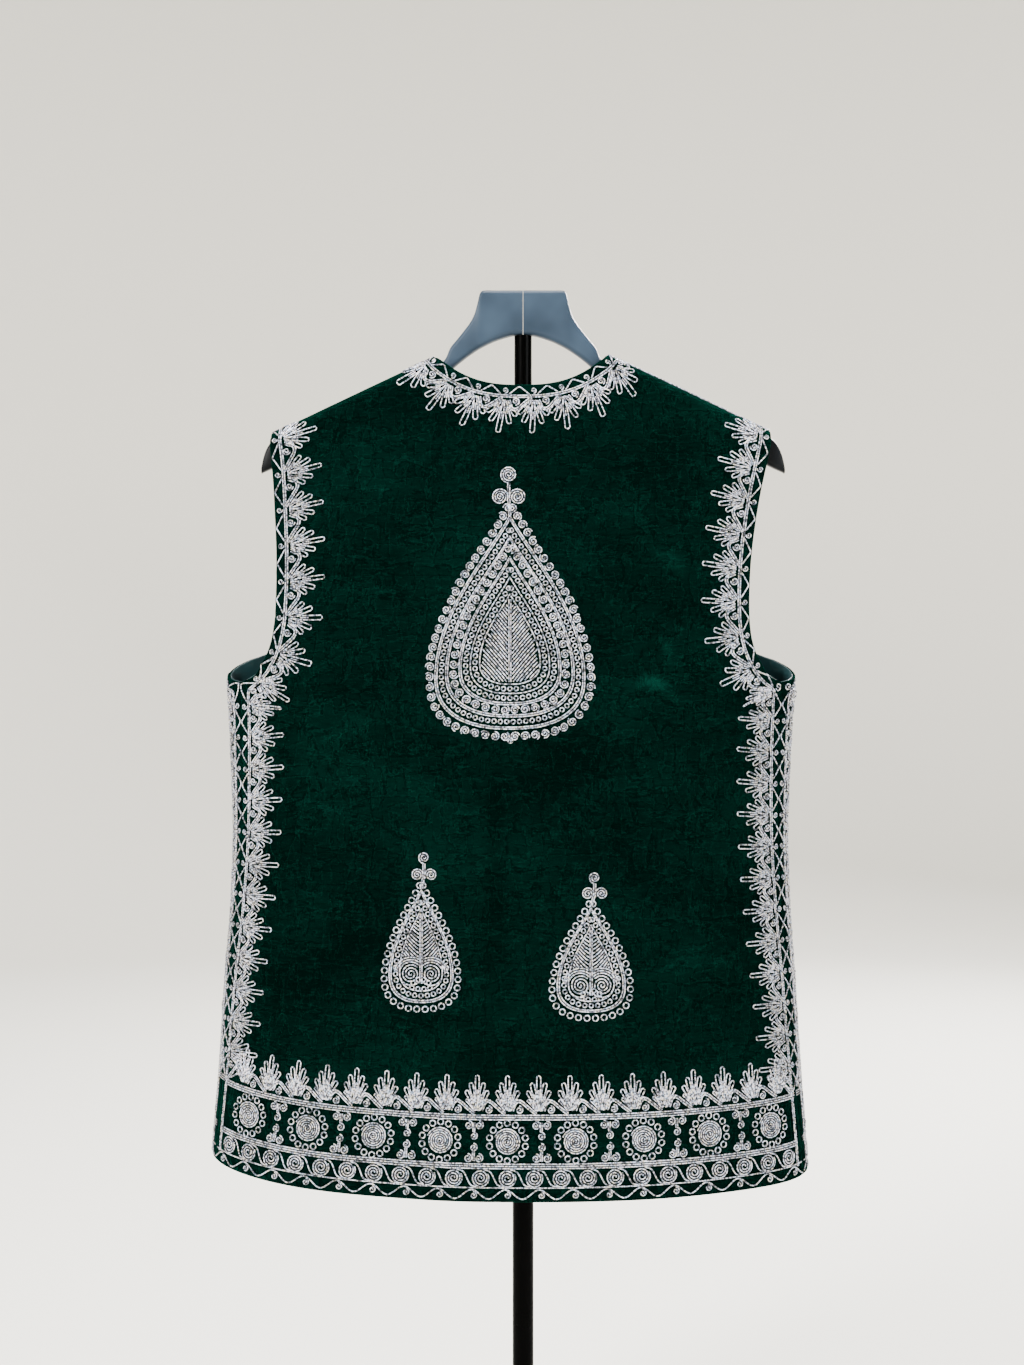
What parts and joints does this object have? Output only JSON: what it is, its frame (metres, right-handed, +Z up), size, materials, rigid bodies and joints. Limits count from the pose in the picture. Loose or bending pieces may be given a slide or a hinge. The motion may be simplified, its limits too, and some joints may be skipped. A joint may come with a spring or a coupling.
{
  "type": "embroidered velvet vest on a display stand",
  "caption": "Open-fronted sleeveless velvet vest with couched cord borders and teardrop motifs, hung on the hanger-shaped head of a display stand.",
  "frame": {"origin": "middle of the base's underside, on the pole's axis, where the stand rests on the floor", "axes": "+Z up the pole; the vest's back faces +Y and its open front faces -Y; +X is the wearer's left"},
  "size_m": [0.5072, 0.3, 1.12],
  "materials": {
    "velvet": "dark bottle-green cotton velvet with a short crushed pile",
    "lining": "smooth teal lining cloth",
    "cord": "couched silver metallic cord",
    "hanger_wood": "black satin paint on wood",
    "stand_metal": "gloss black"
  },
  "bodies": {
    "root": {"back": "velvet", "front_left": "velvet", "front_right": "velvet", "lining_back": "lining", "lining_front_left": "lining", "lining_front_right": "lining", "border_back": "cord", "border_neck": "cord", "border_front_left": "cord", "border_front_right": "cord", "boteh_large": "cord", "boteh_small_left": "cord", "boteh_small_right": "cord", "hanger_left": "hanger_wood", "hanger_right": "hanger_wood", "pole_upper": "stand_metal", "pole_lower": "stand_metal", "pole_collar": "stand_metal", "stand_base": "stand_metal"}
  },
  "joints": []
}
